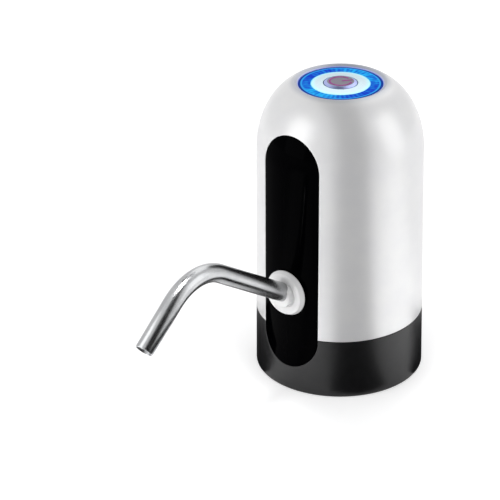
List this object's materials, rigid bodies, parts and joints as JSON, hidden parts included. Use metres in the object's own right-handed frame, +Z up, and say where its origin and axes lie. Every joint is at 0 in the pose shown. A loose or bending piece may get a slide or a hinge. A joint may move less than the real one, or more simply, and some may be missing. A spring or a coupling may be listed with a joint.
{
  "type": "neck-mounted dispensing pump",
  "caption": "Rechargeable pump that stands on a wide socketed neck, with a swivelling steel spout and a lit push button on its crown.",
  "frame": {"origin": "centre of the foot plane, on the casing's axis, at the mouth of the neck socket", "axes": "+Z up along the casing's axis, the spout points along -Y, +X to the right seen from the front"},
  "size_m": [0.0732, 0.1648, 0.1322],
  "materials": {
    "white_shell": "pearl white moulded ABS, semi-gloss",
    "black_base": "black moulded ABS, satin",
    "panel_gloss": "piano black lacquered acrylic",
    "spout_steel": "polished stainless tube",
    "collar_white": "gloss white moulded plastic",
    "ring_clear": "faceted clear light guide, lit blue",
    "dish_pearl": "pale metallic lacquer",
    "button_metal": "satin mauve-grey plated plastic",
    "icon_violet": "translucent violet inlay",
    "white_abs": "natural moulded ABS",
    "grey_acetal": "natural acetal",
    "silicone": "translucent food-grade silicone",
    "black_rubber": "black moulded rubber",
    "zinc_screw": "zinc-plated steel",
    "bright_steel": "ground steel",
    "nickel_can": "nickel-plated drawn steel",
    "copper": "enamelled copper wire",
    "bronze": "sintered bronze",
    "ferrite": "sintered ferrite",
    "laminated_steel": "laminated electrical steel",
    "circuit_green": "green solder mask on laminate",
    "led_white": "white ceramic chip with a clear lens",
    "chip_black": "moulded epoxy",
    "cell_wrap": "plain shrink sleeve",
    "wire_red": "insulated wire"
  },
  "bodies": {
    "housing": {"upper_shell": "white_shell", "base_housing": "black_base", "front_panel": "panel_gloss", "neck_grip_ring": "black_rubber", "casing_screws": "zinc_screw", "intake_nipple": "grey_acetal", "nipple_washer": "silicone", "inner_frame": "white_abs", "board_screws": "zinc_screw", "pump_head": "grey_acetal", "valve_plate": "grey_acetal", "check_valves": "silicone", "diaphragm": "black_rubber", "cup_seat": "grey_acetal", "wobble_chamber": "grey_acetal", "pump_screws": "zinc_screw", "motor_can": "nickel_can", "motor_bushes": "bronze", "motor_end_cap": "white_abs", "motor_terminals": "bronze", "motor_screws": "zinc_screw", "field_magnets": "ferrite", "intake_hose": "silicone", "delivery_hose": "silicone", "hose_clips": "zinc_screw", "outlet_socket": "white_abs", "outlet_screws": "zinc_screw", "light_ring": "ring_clear", "trim_dish": "dish_pearl", "tact_switch": "bright_steel", "light_board": "circuit_green", "led_chips": "led_white", "light_carrier": "white_abs", "carrier_screws": "zinc_screw", "battery_cell": "cell_wrap", "battery_pad": "black_rubber", "battery_tabs": "nickel_can", "control_board": "circuit_green", "board_parts": "chip_black", "usb_socket": "nickel_can", "motor_leads": "wire_red", "battery_leads": "wire_red", "light_leads": "wire_red"},
    "button": {"button_cap": "button_metal", "button_icon": "icon_violet", "button_stem": "white_abs", "switch_plunger": "chip_black"},
    "outlet_seal": {"collar_o_ring": "black_rubber"},
    "spout": {"spout_tube": "spout_steel", "outlet_collar": "collar_white"},
    "rotor": {"motor_shaft": "bright_steel", "armature": "laminated_steel", "windings": "copper", "commutator": "copper", "eccentric_wheel": "white_abs"},
    "wobbler": {"wobble_plate": "white_abs", "wobble_pin": "bright_steel"}
  },
  "joints": [
    {"name": "button_press", "type": "slide", "parent": "housing", "child": "button", "axis": [0, 0, -1], "range_m": [0, 0.0008], "stiffness_N_per_m": 500, "springref_m": -0.001},
    {"name": "spout_pull", "type": "slide", "parent": "housing", "child": "outlet_seal", "axis": [0, -1, 0], "range_m": [0, 0.01]},
    {"name": "spout_swivel", "type": "hinge", "parent": "outlet_seal", "child": "spout", "pos_m": [0, -0.0364, 0.0469], "axis": [0, -1, 0], "continuous": true},
    {"name": "motor_spin", "type": "hinge", "parent": "housing", "child": "rotor", "pos_m": [0, 0, 0.0777], "axis": [0, 0, 1], "continuous": true},
    {"name": "wobble", "type": "hinge", "parent": "rotor", "child": "wobbler", "pos_m": [0, 0, 0.0622], "axis": [-0.1219, 0, 0.9925], "continuous": true, "deforming": ["diaphragm"]}
  ],
  "couplings": [
    {"joint": "wobble", "follows": "motor_spin", "ratio": -1}
  ]
}
